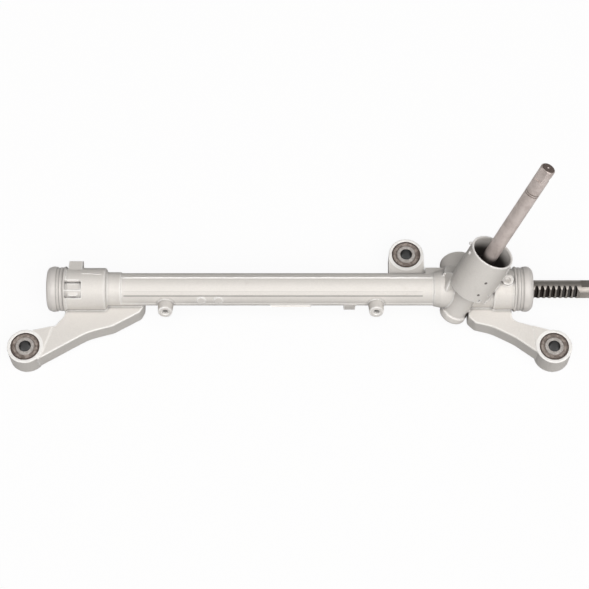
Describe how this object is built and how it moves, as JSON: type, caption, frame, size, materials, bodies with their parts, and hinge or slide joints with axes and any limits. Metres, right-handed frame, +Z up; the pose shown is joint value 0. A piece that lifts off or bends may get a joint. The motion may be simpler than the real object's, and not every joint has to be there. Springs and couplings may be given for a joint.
{
  "type": "steering rack",
  "caption": "Rack and pinion steering gear: cast tube with bolt arms, toothed bar sliding inside, helical pinion with a long angled input shaft.",
  "frame": {"origin": "middle of the line between the two front bolt holes, on the face that the bush sleeves rest on", "axes": "+X to the right along the bar, +Y from the front bolts to the bar, +Z up along the bolts"},
  "size_m": [0.7323, 0.1703, 0.2443],
  "materials": {
    "cast_aluminium": "cast and shot blasted",
    "rack_steel": "ground",
    "pinion_steel": "turned",
    "bush_steel": "phosphated",
    "bush_rubber": "moulded",
    "seal_rubber": "moulded",
    "bearing_steel": "polished",
    "spring_steel": "phosphated",
    "plated_steel": "zinc plated",
    "bearing_plastic": "moulded"
  },
  "bodies": {
    "casing": {"housing": "cast_aluminium", "bar_bush": "bearing_plastic", "bar_bush_o_rings": "seal_rubber", "bar_bush_snap_ring": "spring_steel", "pinion_bearing_outer_ring": "bearing_steel", "housing_snap_ring": "spring_steel", "pinion_seal": "seal_rubber", "lower_bearing_cup": "bearing_steel", "lower_bearing_needles": "bearing_steel", "pinion_end_cap": "plated_steel", "yoke": "cast_aluminium", "yoke_liner": "bearing_plastic", "yoke_o_ring": "seal_rubber", "yoke_spring": "spring_steel", "yoke_plug": "plated_steel", "left_bush_shell": "bush_steel", "left_bush_rubber": "bush_rubber", "left_bush_sleeve": "bush_steel", "right_bush_shell": "bush_steel", "right_bush_rubber": "bush_rubber", "right_bush_sleeve": "bush_steel", "rear_bush_shell": "bush_steel", "rear_bush_rubber": "bush_rubber", "rear_bush_sleeve": "bush_steel"},
    "rack": {"rack_bar": "rack_steel"},
    "pinion": {"pinion_shaft": "pinion_steel", "pinion_bearing_inner_ring": "bearing_steel", "shaft_snap_ring": "spring_steel"},
    "bearing_set": {"pinion_bearing_balls": "bearing_steel", "pinion_bearing_cage": "bearing_plastic"}
  },
  "joints": [
    {"name": "rack_slide", "type": "slide", "parent": "casing", "child": "rack", "axis": [1, 0, 0], "range_m": [-0.128, 0.012]},
    {"name": "pinion_spin", "type": "hinge", "parent": "casing", "child": "pinion", "pos_m": [0.215, 0.06038, 0.04247], "axis": [0.3746, 0.3247, 0.8685], "range_deg": [-95, 960]},
    {"name": "bearing_set_spin", "type": "hinge", "parent": "casing", "child": "bearing_set", "pos_m": [0.215, 0.06038, 0.04247], "axis": [0.3746, 0.3247, 0.8685], "range_deg": [-40, 380]}
  ],
  "couplings": [
    {"joint": "pinion_spin", "follows": "rack_slide", "rad_per_m": -129.87},
    {"joint": "bearing_set_spin", "follows": "rack_slide", "rad_per_m": -50.717}
  ]
}
